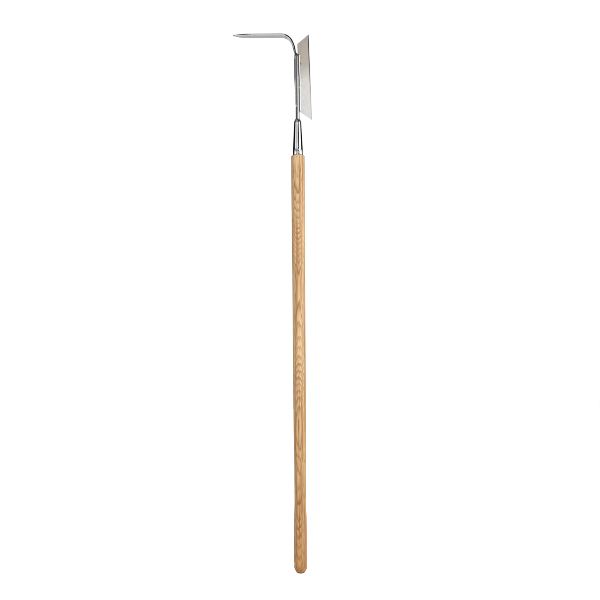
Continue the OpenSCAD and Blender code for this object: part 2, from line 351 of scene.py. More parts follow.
def steel(name, base, rough, grain=(900.0, 900.0, 14.0), grain_amt=0.05, bump=0.10, tint=None, worn=0.0, z_tint_and_painted_light=None, spot=None, painted_shade_zone=None, metal=1.0):
    """Polished or brushed stainless: a fine directional polish, soft blotches in gloss, hairline marks."""
    mat, t, bsdf, co = new_mat(name)
    bsdf.inputs["Metallic"].default_value = metal
    line = t.noise(t.vmul(co, grain), 1.0, 3.0, 0.6)
    blot = t.noise(co, 38.0, 3.0, 0.55)
    hair = t.noise(t.vmul(co, (grain[0] * 2.3, grain[1] * 2.3, grain[2] * 0.6)), 1.0, 2.0, 0.5)
    hairs = t.map(hair, 0.66, 0.72, 0.0, 1.0)
    col = t.mix(t.map(line, 0.3, 0.7, 0.0, 0.35), base, tuple(v * 0.86 for v in base))
    col = t.mix(t.map(blot, 0.45, 0.75, 0.0, 0.25), col, tint or tuple(v * 0.92 for v in base))
    # Colour ramp along z: heat tint on the weld beads, painted reflection on the blade and painted shade on its ground
    # bevel
    if z_tint_and_painted_light:
        lo, hi, stops = z_tint_and_painted_light
        sep = t.new("ShaderNodeSeparateXYZ")
        t.put(sep.inputs[0], co)
        drift = t.math("MULTIPLY_ADD", t.math("SUBTRACT", t.noise(co, 60.0, 2.0, 0.5), 0.5), 0.012, sep.outputs[2])
        f = t.ramp(t.map(drift, lo, hi, 0.0, 1.0), stops)
        col = t.mix(1.0, col, f, "MULTIPLY")
    # Painted shade: the mask darkens the colour towards black and lowers the metallic value
    if painted_shade_zone:
        scale = painted_shade_zone(t, co)
        col = t.mix(scale, col, (0.0, 0.0, 0.0))
        t.put(bsdf.inputs["Metallic"], t.math("MULTIPLY", metal, t.math("SUBTRACT", 1.0, scale)))
    if spot:
        sx, sz, sr = spot
        sep = t.new("ShaderNodeSeparateXYZ")
        t.put(sep.inputs[0], co)
        ex = t.math("SUBTRACT", sep.outputs[0], sx)
        ez = t.math("MULTIPLY", t.math("SUBTRACT", sep.outputs[2], sz), 0.62)
        dist = t.math("SQRT", t.math("ADD", t.math("MULTIPLY", ex, ex), t.math("MULTIPLY", ez, ez)))
        dist = t.math("MULTIPLY_ADD", t.math("SUBTRACT", t.noise(co, 900.0, 2.0, 0.6), 0.5), sr * 1.2, dist)
        col = t.mix(t.map(dist, sr * 0.5, sr * 1.3, 0.8, 0.0), col, lin((88, 70, 54)))
    t.put(bsdf.inputs["Base Color"], col)
    r = t.math("MULTIPLY_ADD", t.math("SUBTRACT", line, 0.5), grain_amt, rough)
    r = t.math("MULTIPLY_ADD", t.math("SUBTRACT", blot, 0.5), rough * 0.5, r)
    r = t.math("MULTIPLY_ADD", hairs, worn, r, clamp=True)
    t.put(bsdf.inputs["Roughness"], r)
    h = t.math("SUBTRACT", line, t.math("MULTIPLY", hairs, 0.4))
    t.put(bsdf.inputs["Normal"], t.bump(h, bump, 0.00002))
    return mat, t, bsdf, co


def seam_shadow(t, co):
    """Painted shade on the tang alongside the blade's weld, wider where the side is flat, and on its slanted top."""
    sep = t.new("ShaderNodeSeparateXYZ")
    t.put(sep.inputs[0], co)
    x, y, z = sep.outputs
    ang = t.math("ARCTAN2", x, t.math("MULTIPLY", y, -1.0))
    edge = t.map(z, 1.104, 1.132, math.radians(32), math.radians(9))
    near = t.map(t.math("SUBTRACT", ang, edge), math.radians(-4), math.radians(4), 0.0, 1.0, kind="SMOOTHSTEP")
    far = t.map(ang, math.radians(150), math.radians(160), 1.0, 0.0)
    start = t.map(z, 1.018, 1.026, 0.0, 0.94, kind="SMOOTHSTEP")
    top = t.map(z, 1.1500, 1.1535, 0.0, 0.9, kind="SMOOTHSTEP")
    return t.math("MAXIMUM", top, t.math("MULTIPLY", t.math("MULTIPLY", near, far), start))


def leg_painted_shade(t, co):
    """Painted shade on the leg below the bend, most of all along its outer edge, weaker towards its foot."""
    sep = t.new("ShaderNodeSeparateXYZ")
    t.put(sep.inputs[0], co)
    x, y, z = sep.outputs
    drift = t.math("MULTIPLY_ADD", t.math("SUBTRACT", t.noise(co, 90.0, 2.0, 0.5), 0.5), 0.010, z)
    low = t.map(drift, 1.156, 1.140, 0.0, 1.0, kind="SMOOTHSTEP")
    fade = t.map(z, 1.082, 1.104, 0.30, 1.0, kind="SMOOTHSTEP")
    outer = t.map(x, -0.0050, -0.0062, 0.76, 0.97, kind="SMOOTHSTEP")
    return t.math("MULTIPLY", low, t.math("MULTIPLY", fade, outer))


def weld_crease_painted_shade(t, co):
    """Painted shade in the crease where the blade's weld meets the tang, broken once by a short gap."""
    sep = t.new("ShaderNodeSeparateXYZ")
    t.put(sep.inputs[0], co)
    x, y, z = sep.outputs
    xr = t.math("SUBTRACT", t.math("MULTIPLY", x, math.cos(math.radians(10))), t.math("MULTIPLY", y, math.sin(math.radians(10))))
    shift = t.map(z, RAMP_Z * MM, SIDE_Z * MM, 0.0, 0.00155)
    drift = t.math("MULTIPLY_ADD", t.math("SUBTRACT", t.noise(co, 140.0, 2.0, 0.5), 0.5), 0.0007, t.math("ADD", xr, shift))
    crease_shade = t.map(drift, 0.0050, 0.0054, 0.93, 0.0, kind="SMOOTHSTEP")
    gap = t.map(t.math("ABSOLUTE", t.math("SUBTRACT", z, 1.0815)), 0.0008, 0.0014, 0.0, 1.0)
    on = t.map(z, 1.022, 1.030, 0.0, 1.0)
    return t.math("MULTIPLY", t.math("MULTIPLY", crease_shade, gap), on)


# Where the tang's side flat starts and where its ramp starts, in mm
SIDE_X, SIDE_Z = TANG_R - 1.55, TANG_TOP - 26
RAMP_Z = SIDE_Z - 34

wood = ash_wood()
socket_mat = steel("polished_steel", (0.80, 0.80, 0.80), 0.045, (260.0, 260.0, 900.0), 0.03, 0.05, worn=0.05)[0]
rivet_mat = steel("rivet_steel", (0.78, 0.78, 0.78), 0.12, (700.0, 700.0, 700.0), 0.05, 0.06, worn=0.06)[0]
tang_mat = steel("tang_steel", (0.76, 0.76, 0.77), 0.065, (900.0, 900.0, 24.0), 0.06, 0.08, worn=0.08, painted_shade_zone=seam_shadow)[0]
prong_mat = steel("prong_steel", (0.76, 0.76, 0.76), 0.08, (30.0, 900.0, 900.0), 0.06, 0.08, worn=0.08, painted_shade_zone=leg_painted_shade)[0]
# Near-black painted shade for the side facets of the prong's point
point_painted_shade_mat = steel("point_facet_painted_shade", (0.045, 0.043, 0.042), 0.30, (700.0, 700.0, 40.0), 0.12, 0.25, worn=0.10)[0]
seam_mat = steel("seam_weld_steel", (0.88, 0.88, 0.88), 0.22, (500.0, 500.0, 500.0), 0.10, 0.12, tint=(0.82, 0.80, 0.76), worn=0.05, painted_shade_zone=weld_crease_painted_shade, metal=0.35)[0]
# Near-black painted shade for the outer corner of the prong's bend
bend_painted_shade_mat = steel("bend_edge_painted_shade", (0.009, 0.009, 0.008), 0.45, (700.0, 700.0, 700.0), 0.10, 0.20, worn=0.10, metal=0.0)[0]
bend_painted_shade_mat.node_tree.nodes["Principled BSDF"].inputs["Specular IOR Level"].default_value = 0.06
point_painted_shade_mat.node_tree.nodes["Principled BSDF"].inputs["Metallic"].default_value = 0.1
point_painted_shade_mat.node_tree.nodes["Principled BSDF"].inputs["Specular IOR Level"].default_value = 0.18
weld_mat = steel("weld_steel", (0.74, 0.74, 0.74), 0.16, (500.0, 500.0, 500.0), 0.10, 0.15, tint=(0.66, 0.60, 0.52), worn=0.05,
                 z_tint_and_painted_light=(1.010, 1.034, [(0.0, (0.16, 0.15, 0.15)), (0.35, (0.20, 0.19, 0.18)), (0.8, (1.0, 1.0, 1.0)), (1.0, (1.0, 1.0, 1.0))]))[0]
seat_mat = steel("tinted_weld_steel", (0.17, 0.16, 0.155), 0.20, (500.0, 500.0, 500.0), 0.10, 0.18, tint=(0.14, 0.10, 0.075), worn=0.06)[0]
# The blade's colour ramp along z is painted reflection: warmer and darker towards the top, lighter towards the bottom
blade_mat = steel("blade_steel", (0.90, 0.89, 0.885), 0.36, (22.0, 700.0, 700.0), 0.10, 0.12, worn=0.08,
                  z_tint_and_painted_light=(1.07, 1.19, [(0.0, (1.10, 1.09, 1.07)), (0.20, (1.08, 1.06, 1.03)), (0.35, (0.95, 0.91, 0.86)), (0.50, (0.77, 0.71, 0.63)),
                                       (0.65, (0.75, 0.675, 0.58)), (0.80, (0.72, 0.645, 0.555)), (0.95, (0.67, 0.59, 0.53)), (1.0, (0.66, 0.58, 0.52))]),
                  spot=(0.0072, 1.1357, 0.0014))[0]


# Painted shade on the blade's ground bevel: its colour darkens from light grey at the bottom to near-black at the top
bevel_mat = steel("ground_bevel_steel", (0.62, 0.61, 0.60), 0.09, (700.0, 700.0, 30.0), 0.06, 0.06, worn=0.10,
                  z_tint_and_painted_light=(1.04, 1.18, [(0.0, (0.80, 0.80, 0.80)), (0.35, (0.45, 0.45, 0.45)), (0.6, (0.12, 0.12, 0.12)), (1.0, (0.03, 0.03, 0.03))]))[0]
bevel_mat.node_tree.nodes["Principled BSDF"].inputs["Metallic"].default_value = 0.5

blade_mat.node_tree.nodes["Principled BSDF"].inputs["Metallic"].default_value = 0.60

# ---------------------------------------------------------------- handle
knots = [(0, 7.8), (3, 10.2), (6.2, 12.2), (8.5, 13.4), (11, 14.3), (15, 14.8), (25, 15.0), (60, 15.0),
         (80, 14.7), (100, 14.35), (125, 14.1), (140, 13.6), (160, 13.15), (245, 13.15), (258, 13.6), (272, 14.1),
         (300, 14.15), (680.3, 14.3), (699.8, 14.65), (720.3, 14.8), (800.3, 14.85), (819.9, 15.05), (899.9, 15.1),
         (SHAFT - 3.4, 15.1), (SHAFT - 1.2, 14.6), (SHAFT, 13.6)]
prof = catmull(knots, 14)
outer = [(r, z) for z, r in prof]
tenon = [(9.5, SHAFT), (9.5, SHAFT + 14.4), (6.6, h_hi.z / MM - 2), (5.0, h_hi.z / MM), (0, h_hi.z / MM)]
handle = lathe("ash_handle", [(0, 0.0), (6.2, 0.0), (7.4, 0.12)] + [(r, max(z, 0.0) + (0.35 if i == 0 else 0)) for i, (r, z) in enumerate(outer)] + tenon, seg=112, sharp=28)
# The hanging hole, with a softened mouth
cut_prof = [(0, -17.2), (6.2, -17.2), (5.6, -15.0), (4.75, -14.1), (4.35, -13.4), (4.25, -12.6),
            (4.25, 12.6), (4.35, 13.4), (4.75, 14.1), (5.6, 15.0), (6.2, 17.2), (0, 17.2)]
cutter = lathe("hole_cutter", cut_prof, seg=48)
cutter.data.transform(Matrix.Translation((0, 0, 20.7 * MM)) @ Matrix.Rotation(math.pi / 2, 4, "Y"))
boolean(handle, cutter)
handle.data.shade_smooth()
handle.data.set_sharp_from_angle(angle=math.radians(30))
handle.data.materials.clear()
handle.data.materials.append(wood)
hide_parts("handle")
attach(handle, "root")

# ---------------------------------------------------------------- socket
cone_z = SHAFT + 14.4
sh_z = cone_z + 55.8
neck_r = 8.2
sp = [(SOCK_R - 1.5, SHAFT + 0.02), (SOCK_R - 0.55, SHAFT + 0.02), (SOCK_R - 0.18, SHAFT + 0.18), (SOCK_R, SHAFT + 0.55),
      (SOCK_R, SHAFT + 4), (SOCK_R, cone_z - 1.2), (SOCK_R - 0.02, cone_z - 0.3), (SOCK_R - 0.12, cone_z + 0.5)]
for i in range(1, 25):
    u = i / 24
    sp.append((SOCK_R - 0.12 + (neck_r - SOCK_R + 0.12) * u, cone_z + 0.5 + (sh_z - cone_z - 0.5) * u))
for i in range(1, 15):
    a = math.pi / 2 * i / 14
    sp.append((TANG_R + 0.1 + (neck_r - TANG_R - 0.1) * math.cos(a), sh_z + (SOCK_TOP - sh_z) * math.sin(a)))
sp += [(TANG_R + 0.1, sh_z - 1), (6.6, sh_z - 1), (SOCK_R - 1.6, cone_z), (SOCK_R - 1.6, SHAFT + 0.3)]
socket = lathe("steel_socket", sp, seg=112, closed=True, sharp=40)
socket.data.materials.append(socket_mat)
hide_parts("socket")
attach(socket, "root")

# ---------------------------------------------------------------- rivet, both heads on one shank
riv_z = (r_lo.z + r_hi.z) / 2 / MM
riv_r = (r_hi.z - r_lo.z) / 2 / MM
head_h = r_hi.y / MM - SOCK_R


def rivet_mesh():
    verts, faces = [], []
    seg, rings = 48, 14
    for side in (-1, 1):
        base = len(verts)
        verts.append((0, side * (SOCK_R + head_h), riv_z))
        for k in range(1, rings + 1):
            q = k / rings
            rho = riv_r * math.sin(q * math.pi / 2) if k < rings else riv_r
            hh = head_h * math.sqrt(max(0.0, 1 - (rho / riv_r) ** 3.6)) if k < rings else 0.0
            for i in range(seg):
                a = 2 * math.pi * i / seg
                xx, zz = rho * math.cos(a), rho * math.sin(a)
                yy = math.sqrt(SOCK_R ** 2 - xx ** 2) + hh
                verts.append((xx, side * yy, riv_z + zz))
        for i in range(seg):
            j = (i + 1) % seg
            faces.append((base, base + 1 + i, base + 1 + j))
            for k in range(rings - 1):
                a0 = base + 1 + k * seg
                b0 = a0 + seg
                faces.append((a0 + i, b0 + i, b0 + j, a0 + j))
        # turn in to the shank
        last = base + 1 + (rings - 1) * seg
        inner = len(verts)
        for i in range(seg):
            a = 2 * math.pi * i / seg
            verts.append((2.3 * math.cos(a), side * (SOCK_R - 1.0), riv_z + 2.3 * math.sin(a)))
        for i in range(seg):
            j = (i + 1) % seg
            faces.append((last + i, inner + i, inner + j, last + j))
        if side < 0:
            first_inner = inner
        else:
            for i in range(seg):
                j = (i + 1) % seg
                faces.append((first_inner + i, inner + i, inner + j, first_inner + j))
    return obj_from("socket_rivet_set", verts, faces, sharp=50)


rivet = rivet_mesh()
rivet.data.materials.append(rivet_mat)
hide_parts("socket_rivet")
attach(rivet, "root")

# ---------------------------------------------------------------- tang
tz0 = t_lo.z / MM
prof_t = [(0, tz0), (TANG_R - 0.6, tz0), (TANG_R, tz0 + 0.6)] + [(TANG_R, tz0 + 0.6 + (TANG_TOP + 3 - tz0) * i / 30) for i in range(1, 31)] + [(0, TANG_TOP + 3.6)]
tang = lathe("tang_bar", prof_t, seg=96)
LEG_X = -TANG_R + 1.45
TURN = -10.0
boolean(tang, box_mesh("c1", (-20, -12, LEG_FOOT), (LEG_X, 12, 1400)))
boolean(tang, box_mesh("c2", (-10, TANG_R - 1.5, b_lo.z / MM + 14.3), (10, 20, 1400), turn=TURN))

side_cut = obj_from("c4", [(x, y, z) for y in (-20, 20) for x, z in
                           ((TANG_R, RAMP_Z), (SIDE_X, SIDE_Z), (SIDE_X, TANG_TOP + 20), (TANG_R + 5, TANG_TOP + 20), (TANG_R + 5, RAMP_Z))],
                    [(0, 1, 2, 3, 4), (9, 8, 7, 6, 5)] + [(i, (i + 1) % 5, 5 + (i + 1) % 5, 5 + i) for i in range(5)], smooth=False)
side_cut.data.transform(Matrix.Rotation(math.radians(TURN), 4, "Z"))
boolean(tang, side_cut)
top_cut = box_mesh("c3", (-20, -20, 0), (40, 20, 30))
top_cut.data.transform(Matrix.Translation((-TANG_R * MM, 0, TANG_TOP * MM)) @ Matrix.Rotation(math.radians(38), 4, "Y"))
boolean(tang, top_cut)
bevel(tang, 0.55, 4, 40)
flat_faces(tang)
tang.data.materials.clear()
tang.data.materials.append(tang_mat)
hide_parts("tang")
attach(tang, "root")

# ---------------------------------------------------------------- weld beads
def bead(name, pts, radius, seg=20, ripple=0.025, pitch=1.9):
    """A tube along pts (mm) with the shallow ripples of a weld; tapered, rounded ends."""
    path = [Vector(p) for p in pts]
    d = [0.0]
    for a, b in zip(path, path[1:]):
        d.append(d[-1] + (b - a).length)
    total = d[-1]
    n = max(24, int(total / 0.45))
    verts, faces = [], []
    k = 0
    for i in range(n + 1):
        s = total * i / n
        while k < len(d) - 2 and s > d[k + 1]:
            k += 1
        u = (s - d[k]) / (d[k + 1] - d[k])
        c = path[k].lerp(path[k + 1], u)
        tan = (path[k + 1] - path[k]).normalized()
        side = tan.cross(Vector((0, 1, 0)))
        if side.length < 0.05:
            side = tan.cross(Vector((1, 0, 0)))
        side.normalize()
        up = side.cross(tan).normalized()
        end = min(s, total - s)
        cap = math.sqrt(max(0.0, 1 - (1 - min(1.0, end / radius)) ** 2)) if end < radius else 1.0
        rr = radius * max(cap, 0.08) * (1 + ripple * math.cos(2 * math.pi * (s / pitch + 0.7 * noise.noise(c * 0.13))) + 0.04 * noise.noise(c * 0.3))
        for j in range(seg):
            a = 2 * math.pi * j / seg
            verts.append(c + side * (rr * math.cos(a)) + up * (rr * math.sin(a)))
    for i in range(n):
        for j in range(seg):
            jj = (j + 1) % seg
            faces.append((i * seg + j, i * seg + jj, (i + 1) * seg + jj, (i + 1) * seg + j))
    faces.append(tuple(range(seg)))
    faces.append(tuple(n * seg + j for j in reversed(range(seg))))
    return obj_from(name, verts, faces, sharp=60)


def ring_bead(name, r, z, minor, seg=120, tube=20, ripple=0.06, count=26):
    verts, faces = [], []
    for i in range(seg):
        a = 2 * math.pi * i / seg
        m = minor * (1 + ripple * math.cos(count * a) + 0.05 * noise.noise(Vector((math.cos(a), math.sin(a), 0)) * 2))
        for j in range(tube):
            b = 2 * math.pi * j / tube
            rr = r + m * math.cos(b)
            verts.append((rr * math.cos(a), rr * math.sin(a), z + m * math.sin(b)))
    for i in range(seg):
        for j in range(tube):
            i2, j2 = (i + 1) % seg, (j + 1) % tube
            faces.append((i * tube + j, i2 * tube + j, i2 * tube + j2, i * tube + j2))
    return obj_from(name, verts, faces, sharp=60)


def join(objs, name):
    bm = bmesh.new()
    for o in objs:
        bm.from_mesh(o.data)
    me = bpy.data.meshes.new(name)
    bm.to_mesh(me)
    bm.free()
    ob = bpy.data.objects.new(name, me)
    scene.collection.objects.link(ob)
    for o in objs:
        bpy.data.objects.remove(o)
    me.shade_smooth()
    me.set_sharp_from_angle(angle=math.radians(60))
    return ob


neck = ring_bead("neck_weld_bead", TANG_R + 0.35, NECK_Z, 1.1)
neck.data.materials.append(weld_mat)
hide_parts("neck_weld")
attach(neck, "root")

pw_lo, pw_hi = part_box("prong_weld")
pz0, pz1 = pw_lo.z / MM, pw_hi.z / MM
seat_y = math.sqrt(TANG_R ** 2 - LEG_X ** 2)
pw = join([bead("pwa", [(LEG_X + 0.4, s * (seat_y + 0.5), pz0), (LEG_X + 0.4, s * (seat_y + 0.5), pz1)], 1.4) for s in (-1, 1)], "prong_weld_beads")
pw.data.materials.append(seat_mat)
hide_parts("prong_weld")
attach(pw, "root")

# ---------------------------------------------------------------- blade
BT, BW = 2.5, 26.2
HI, HO = 76.1, 95.3
BMID, BX, LEAN = 1103.9, 2.3, 1.85
place = (Matrix.Rotation(math.radians(TURN), 4, "Z")
         @ Matrix.Translation(Vector((BX, TANG_R - 1.5, BMID)) * MM)
         @ Matrix.Rotation(math.pi / 2, 4, "X") @ Matrix.Rotation(math.radians(LEAN), 4, "Z")
         @ Matrix.Translation(Vector((0, 0, -BT)) * MM))


def blade_mesh():
    """Plate with a ground bevel on its near face along the outer edge, faces split finely along its length."""
    n = 40
    verts, faces = [], []
    cols = [(0.0, 0.0, BT), (BW - 4.6, 0.0, BT), (BW - 2.0, 0.0, BT - 0.06), (BW - 1.1, 0.0, BT - 0.9), (BW - 0.3, 0.3, BT - 1.8), (BW, 0.4, BT - 1.95)]
    m = 2 * len(cols)
    for i in range(n + 1):
        v = -1 + 2 * i / n
        for x, lo, hi in cols:
            half = HI + (HO - HI) * x / BW
            verts += [(x, half * v, lo), (x, half * v, hi)]
    for i in range(n):
        a, b = i * m, (i + 1) * m
        for k in range(0, m - 2, 2):
            faces += [(a + k + 1, b + k + 1, b + k + 3, a + k + 3), (a + k + 2, b + k + 2, b + k, a + k)]
        faces += [(a + m - 1, b + m - 1, b + m - 2, a + m - 2), (a, b, b + 1, a + 1)]
    e = n * m
    tops = [k for k in range(1, m, 2)]
    lows = [k for k in range(m - 2, -1, -2)]
    faces += [tuple(tops + lows), tuple(e + k for k in reversed(tops + lows))]
    ob = obj_from("slicing_blade", verts, faces, smooth=False)
    bevel(ob, 0.24, 3, 60)
    ob.data.set_sharp_from_angle(angle=math.radians(9))
    flat_faces(ob)
    ob.data.transform(place)
    return ob


blade = blade_mesh()
blade.data.materials.clear()
blade.data.materials.append(blade_mat)
blade.data.materials.append(bevel_mat)
back = place.inverted().to_3x3()
for poly in blade.data.polygons:
    n = back @ poly.normal
    if n.x > 0.2 and abs(n.y) < 0.5:
        poly.material_index = 1
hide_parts("blade")
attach(blade, "root")


def turned(x, y, z):
    a = math.radians(TURN)
    return (x * math.cos(a) - y * math.sin(a), x * math.sin(a) + y * math.cos(a), z)


def on_blade(x, y, z):
    v = place @ (Vector((x, y, z)) * MM)
    return tuple(v / MM)


seam_low, seam_high = b_lo.z / MM + 18.3 + 3, TANG_TOP - 5.6
bx, by = TANG_R - 0.2, TANG_R - 1.5 - 1.1
c38, s38 = math.cos(math.radians(38)), math.sin(math.radians(38))


def fillet(name):
    """A fillet weld in the corner between the tang and the blade, with a shallow ripple along it."""
    sec = [(3.3, 0.95), (4.05, 1.0), (4.35, 1.12), (4.95, 1.55), (5.55, 2.0), (6.15, 2.42), (6.6, 2.68), (6.8, 2.9), (6.5, 3.1), (5.2, 3.2), (3.6, 3.2)]
    rows = []
    z = seam_low - 2.0
    while z < seam_high + 0.01:
        f = min(1.0, max(0.0, (z - RAMP_Z) / (SIDE_Z - RAMP_Z)))
        end = min(1.0, math.sqrt(max(0.0, (z - seam_low + 2.0) / 3.0)) + 0.15)
        rows.append((z, -1.55 * f, end, 0.0))
        z += 0.4
    last = rows[-1]
    for k in range(1, 15):       # over the corner and along the slanted top
        d = 0.35 * k
        rows.append((last[0] + d * s38, last[1] - d * c38, min(1.0, math.sqrt((15 - k) / 6.0)), 38.0))
    verts, faces = [], []
    m = len(sec)
    for i, (z, dx, end, _) in enumerate(rows):
        rip = 1 + 0.022 * math.cos(2 * math.pi * (i * 0.4 / 1.9 + 0.7 * noise.noise(Vector((0.9, 0.2, z * 0.11))))) + 0.05 * noise.noise(Vector((0.3, 1.7, z * 0.18)))
        for x, y in sec:
            gx = 3.6 + (x - 3.6) * (end * rip if x > 4.2 else 1.0)
            gy = 3.2 - (3.2 - y) * (end * rip if y < 3.0 else 1.0)
            verts.append(turned(gx + dx, gy, z))
    for i in range(len(rows) - 1):
        for j in range(m):
            jj = (j + 1) % m
            faces.append((i * m + j, i * m + jj, (i + 1) * m + jj, (i + 1) * m + j))
    faces.append(tuple(range(m)))
    faces.append(tuple((len(rows) - 1) * m + j for j in reversed(range(m))))
    return obj_from(name, verts, faces, sharp=60)


near_seam = fillet("bwa")
far_seam = bead("bwb", [on_blade(-0.1, seam_low + 1 - BMID, BT - 0.9), on_blade(-0.1, seam_high - 3 - BMID, BT - 0.9)], 1.7)
bw = join([near_seam, far_seam], "blade_weld_beads")
bw.data.materials.append(seam_mat)
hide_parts("blade_weld")
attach(bw, "root")

# ---------------------------------------------------------------- prong
PT = 4.0
leg_mid = LEG_X - PT / 2
bar_mid = PRONG_TOP - PT / 2
SW_R, SW_A, BD_R = 60.0, 29.0, 26.0
sw_z = bar_mid - SW_R * math.sin(math.radians(SW_A)) - BD_R * (1 - math.sin(math.radians(SW_A)))
bd_x = leg_mid - SW_R * (1 - math.cos(math.radians(SW_A))) - BD_R * math.cos(math.radians(SW_A))


def prong_mesh():
    """One bar swept up the leg, round the bend and out to the point. Each section is a rounded rectangle."""
    secs = []   # (centre x, centre z, tangent angle from +Z towards -X, thickness, offset of the thickness centre, half width, corner)
    foot = LEG_FOOT
    thin_z, full_z, mid_z = NECK_Z + 60, NECK_Z + 92, foot + 9

    def leg_t(z):
        if z < mid_z:
            return 0.8 + (2.0 - 0.8) * (z - foot) / (mid_z - foot)
        if z < thin_z:
            return 2.0 + 0.4 * (z - mid_z) / (thin_z - mid_z)
        if z < full_z:
            q = (z - thin_z) / (full_z - thin_z)
            return 2.4 + (PT - 2.4) * (q * 0.6 + 0.4 * (3 * q * q - 2 * q ** 3))
        return PT

    def leg_w(z):
        if z < foot + 4:
            return 5 + 3 * math.sqrt(max(0.0, 1 - ((foot + 4 - z) / 4) ** 2))
        top = NECK_Z + 108
        if z < top:
            return 8 + (PRONG_HW - 8) * (z - foot - 4) / (top - foot - 4)
        return PRONG_HW

    z = foot
    while z < sw_z - 0.01:
        tt = leg_t(z)
        secs.append((LEG_X - tt / 2, z, 0.0, tt, leg_w(z)))
        z += 1.0 if z < foot + 5 else 3.0
    for i in range(0, 31):
        a = math.radians(SW_A) * i / 30
        secs.append((leg_mid - SW_R * (1 - math.cos(a)), sw_z + SW_R * math.sin(a), a, PT, PRONG_HW))
    for i in range(1, 33):
        a = math.radians(SW_A + (90 - SW_A) * i / 32)
        secs.append((bd_x + BD_R * math.cos(a), bar_mid - BD_R + BD_R * math.sin(a), a, PT, PRONG_HW))
    x = bd_x - 3
    while x > -REACH + 35:
        secs.append((x, bar_mid, math.pi / 2, PT, PRONG_HW))
        x -= 3
    x = -REACH + 35
    while x > -REACH + 0.2:
        q = (x + REACH) / 35
        hw = 0.6 + (PRONG_HW - 0.6) * (0.3 * q + 0.7 * (1 - (1 - q) ** 2.2))
        under = 0.0 if x > -REACH + 16 else (PT - 2.0) * (1 - (x + REACH) / 16)
        tt = PT - under
        secs.append((x, PRONG_TOP - tt / 2, math.pi / 2, tt, hw))
        x -= 1.0 if x > -REACH + 6 else 0.5
    secs.append((-REACH + 0.1, PRONG_TOP - 1.0, math.pi / 2, 2.0, 0.55))
    verts, faces = [], []
    cs = 8
    m = 4 * (cs + 1)
    for (cx, cz, a, tt, hw) in secs:
        ct = Vector((math.cos(a), 0, math.sin(a)))     # outward, across the thickness
        rc = min(1.85, tt * 0.46, hw * 0.5)
        for qx, qy in ((1, 1), (-1, 1), (-1, -1), (1, -1)):
            for k in range(cs + 1):
                base = {(1, 1): 0, (-1, 1): 90, (-1, -1): 180, (1, -1): 270}[(qx, qy)]
                b = math.radians(base + 90 * k / cs)
                u = qx * (tt / 2 - rc) + rc * math.cos(b)
                w = qy * (hw - rc) + rc * math.sin(b)
                p = Vector((cx, 0, cz)) + ct * u
                verts.append((p.x, w, p.z))
    for i in range(len(secs) - 1):
        for j in range(m):
            jj = (j + 1) % m
            faces.append((i * m + j, i * m + jj, (i + 1) * m + jj, (i + 1) * m + j))
    faces.append(tuple(range(m)))
    e = (len(secs) - 1) * m
    faces.append(tuple(e + j for j in reversed(range(m))))
    return flat_faces(obj_from("spear_prong", verts, faces, sharp=40))


prong = prong_mesh()
prong.data.materials.append(prong_mat)
prong.data.materials.append(point_painted_shade_mat)
prong.data.materials.append(bend_painted_shade_mat)
for poly in prong.data.polygons:
    # the outer corner of the bend gets near-black painted shade
    px_, pz_ = poly.center.x / MM, poly.center.z / MM
    if abs(poly.normal.y) > 0.12 and pz_ > 1146 and px_ > -34:
        if px_ > bd_x + BD_R * math.cos(math.radians(SW_A)) and pz_ < sw_z + SW_R * math.sin(math.radians(SW_A)):
            off = math.hypot(px_ - (leg_mid - SW_R), pz_ - sw_z) - SW_R
            fade = max(0.0, min(1.0, (1158 - pz_) / 12))
        else:
            off = math.hypot(px_ - bd_x, pz_ - (bar_mid - BD_R)) - BD_R
            fade = max(0.0, min(1.0, (math.degrees(math.atan2(pz_ - (bar_mid - BD_R), px_ - bd_x)) - 66) / 20))
        if off > -0.75 + 2.8 * fade:
            poly.material_index = 2
for poly in prong.data.polygons:
    # the two side facets of the point are ground and get near-black painted shade
    if (-REACH + 5.5) * MM < poly.center.x < (-REACH + 41.5) * MM and -0.05 < poly.normal.z < 0.985:
        poly.material_index = 1
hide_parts("prong")
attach(prong, "root")

# ---------------------------------------------------------------- floor, light and camera
def floor():
    n = 64
    verts = [(0, 0, -0.4)]
    rings = [300, 800, 1500, 2400, 3200, 3900]
    faces = []
    for r in rings:
        for i in range(n):
            a = 2 * math.pi * i / n
            verts.append((r * math.cos(a), r * math.sin(a), -0.4))
    for i in range(n):
        j = (i + 1) % n
        faces.append((0, 1 + i, 1 + j))
        for k in range(len(rings) - 1):
            a0, b0 = 1 + k * n, 1 + (k + 1) * n
            faces.append((a0 + i, b0 + i, b0 + j, a0 + j))
    ob = obj_from("floor", verts, faces, smooth=False)
    mat, t, bsdf, co = new_mat("floor_paper")
    f = t.noise(co, 900.0, 2.0, 0.5)
    t.put(bsdf.inputs["Base Color"], t.mix(t.map(f, 0.3, 0.7, 0.0, 1.0), (0.90, 0.90, 0.895), (0.92, 0.92, 0.92)))
    bsdf.inputs["Roughness"].default_value = 0.85
    bsdf.inputs["Emission Color"].default_value = (1.0, 1.0, 1.0, 1.0)
    lp = t.new("ShaderNodeLightPath")
    t.put(bsdf.inputs["Emission Strength"], t.map(lp.outputs["Is Camera Ray"], 0.0, 1.0, 0.04, 0.75))
    bsdf.inputs["Specular IOR Level"].default_value = 0.1
    ob.data.materials.append(mat)
    return ob


floor()

world = bpy.data.worlds.new("studio")
scene.world = world
world.use_nodes = True
wt = Tree(world)
bg = wt.n["Background"]
tc = wt.new("ShaderNodeTexCoord")
sp_ = wt.new("ShaderNodeSeparateXYZ")
wt.put(sp_.inputs[0], tc.outputs["Generated"])
wx, wy, wz = sp_.outputs
az = wt.math("ARCTAN2", wx, wt.math("MULTIPLY", wy, -1.0))
az01 = wt.math("MULTIPLY_ADD", az, 1 / (2 * math.pi), 0.5)


def deg(d):
    return d / 360.0 + 0.5


